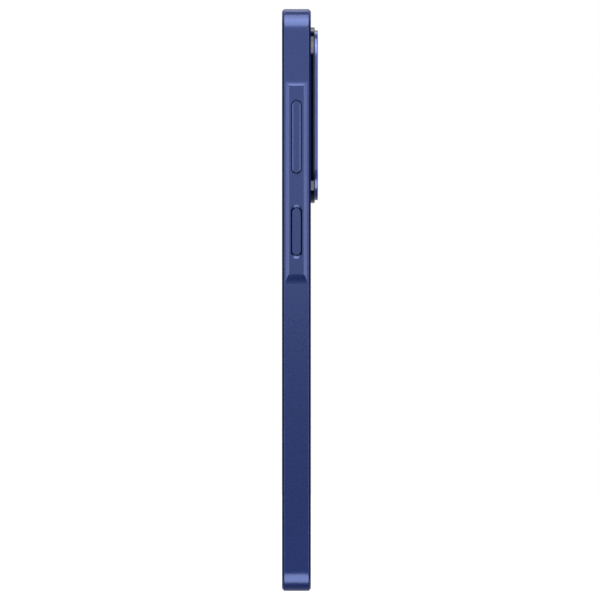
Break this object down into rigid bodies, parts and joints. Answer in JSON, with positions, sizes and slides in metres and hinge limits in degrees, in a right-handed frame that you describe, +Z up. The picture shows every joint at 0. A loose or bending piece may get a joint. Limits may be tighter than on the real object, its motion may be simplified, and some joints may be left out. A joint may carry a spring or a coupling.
{
  "type": "smartphone",
  "caption": "Slim upright smartphone with a bevelled side frame, raised key strip, rocker and sunk power keys, glass front and a long pill-shaped camera island on the back.",
  "frame": {"origin": "middle of the charging-port mouth on the bottom end, on the mid-plane between screen and rear cover", "axes": "+Z up the phone's height, +Y out of the rear cover with the screen facing -Y, +X towards the side with the volume and power keys"},
  "size_m": [0.0785, 0.0101, 0.164],
  "materials": {
    "frame_paint": "satin metallic navy paint over moulded plastic",
    "cover_paint": "soft satin navy coating",
    "key_paint": "satin metallic navy paint, as the frame",
    "screen_glass": "polished cover glass with a black printed border",
    "display_stack": "dark switched-off display panel",
    "black_tape": "thin black foam adhesive",
    "flex_film": "amber polyimide film",
    "dark_mesh": "fine black woven mesh",
    "module_black": "matte black module housing",
    "graphite": "dull graphite film",
    "island_black": "glossy black",
    "rim_blue": "polished blue anodised metal",
    "lens_glass": "dark polished lens cover",
    "ring_metal": "fine-turned blue metal ring",
    "sensor_ceramic": "dark glazed sensor face",
    "flash_diffuser": "frosted lens with fine rings",
    "led_phosphor": "yellow phosphor",
    "board_green": "solder-masked circuit board",
    "shield_steel": "thin stamped steel",
    "bracket_plastic": "black glass-filled plastic",
    "cast_plate": "die-cast light alloy",
    "battery_pouch": "black laminated foil pouch",
    "pull_tape": "white stretch adhesive",
    "coax_sleeve": "grey cable sleeve",
    "port_steel": "plated steel",
    "contact_gold": "gold-plated contact",
    "seal_rubber": "soft black silicone",
    "rotor_weight": "sintered heavy alloy"
  },
  "bodies": {
    "phone_body": {"side_frame": "frame_paint", "support_plate": "cast_plate", "display_cover_glass": "screen_glass", "display_panel": "display_stack", "display_adhesive": "black_tape", "display_flex": "flex_film", "earpiece_mesh": "dark_mesh", "earpiece_receiver": "module_black", "front_camera_module": "module_black", "light_sensor": "module_black", "rear_cover": "cover_paint", "rear_cover_adhesive": "black_tape", "graphite_sheet": "graphite", "camera_island_base": "island_black", "camera_island_rim": "rim_blue", "camera_cover_glass": "lens_glass", "lens_trim_rings": "ring_metal", "main_camera_housing": "module_black", "main_image_sensor": "sensor_ceramic", "ultrawide_camera_module": "module_black", "macro_camera_module": "module_black", "flash_lens": "flash_diffuser", "flash_led": "led_phosphor", "main_board": "board_green", "shield_cans": "shield_steel", "board_chips": "module_black", "upper_bracket": "bracket_plastic", "near_field_antenna": "graphite", "battery_cell": "battery_pouch", "battery_adhesive": "pull_tape", "battery_connector": "flex_film", "sub_board": "board_green", "lower_bracket": "bracket_plastic", "interconnect_flex": "flex_film", "antenna_coax": "coax_sleeve", "charging_port_shell": "port_steel", "charging_port_tongue": "bracket_plastic", "charging_port_contacts": "contact_gold", "charging_port_gasket": "seal_rubber", "speaker_box": "bracket_plastic", "speaker_unit": "shield_steel", "speaker_mesh": "dark_mesh", "microphones": "shield_steel", "vibration_motor_case": "shield_steel", "frame_screws": "port_steel", "key_bracket": "shield_steel", "key_flex": "flex_film", "key_domes": "port_steel", "card_socket": "shield_steel"},
    "volume_rocker": {"volume_key": "key_paint"},
    "power_button": {"power_key": "key_paint", "fingerprint_sensor": "sensor_ceramic", "power_key_plunger": "bracket_plastic"},
    "autofocus_barrel": {"main_lens_barrel": "module_black"},
    "vibration_rotor": {"motor_rotor": "rotor_weight"},
    "eject_pushrod": {"eject_rod": "shield_steel"},
    "eject_arm": {"eject_lever": "shield_steel"},
    "tray_pusher": {"eject_slider": "shield_steel"},
    "sliding_tray": {"card_tray": "key_paint", "card_tray_gasket": "seal_rubber"}
  },
  "joints": [
    {"name": "volume_rock", "type": "hinge", "parent": "phone_body", "child": "volume_rocker", "pos_m": [0.038, 0, 0.1278], "axis": [0, 1, 0], "range_deg": [-1.8, 1.8], "stiffness_Nm_per_rad": 0.3},
    {"name": "power_press", "type": "slide", "parent": "phone_body", "child": "power_button", "axis": [-1, 0, 0], "range_m": [0, 0.0003], "stiffness_N_per_m": 4000},
    {"name": "autofocus_travel", "type": "slide", "parent": "phone_body", "child": "autofocus_barrel", "axis": [0, 1, 0], "range_m": [0, 0.0003], "stiffness_N_per_m": 50},
    {"name": "motor_spin", "type": "hinge", "parent": "phone_body", "child": "vibration_rotor", "pos_m": [-0.0245, 0, 0.0132], "axis": [0, 1, 0], "continuous": true},
    {"name": "eject_rod_push", "type": "slide", "parent": "phone_body", "child": "eject_pushrod", "axis": [1, 0, 0], "range_m": [0, 0.0016]},
    {"name": "eject_lever_turn", "type": "hinge", "parent": "phone_body", "child": "eject_arm", "pos_m": [-0.0156, 0, 0.13], "axis": [0, -1, 0], "range_deg": [0, 9.9]},
    {"name": "tray_pusher_slide", "type": "slide", "parent": "phone_body", "child": "tray_pusher", "axis": [-1, 0, 0], "range_m": [0, 0.0016]},
    {"name": "card_tray_pull", "type": "slide", "parent": "tray_pusher", "child": "sliding_tray", "axis": [-1, 0, 0], "range_m": [0, 0.0204]}
  ],
  "couplings": [
    {"joint": "eject_lever_turn", "follows": "eject_rod_push", "rad_per_m": 106.5},
    {"joint": "tray_pusher_slide", "follows": "eject_rod_push", "ratio": 1}
  ]
}
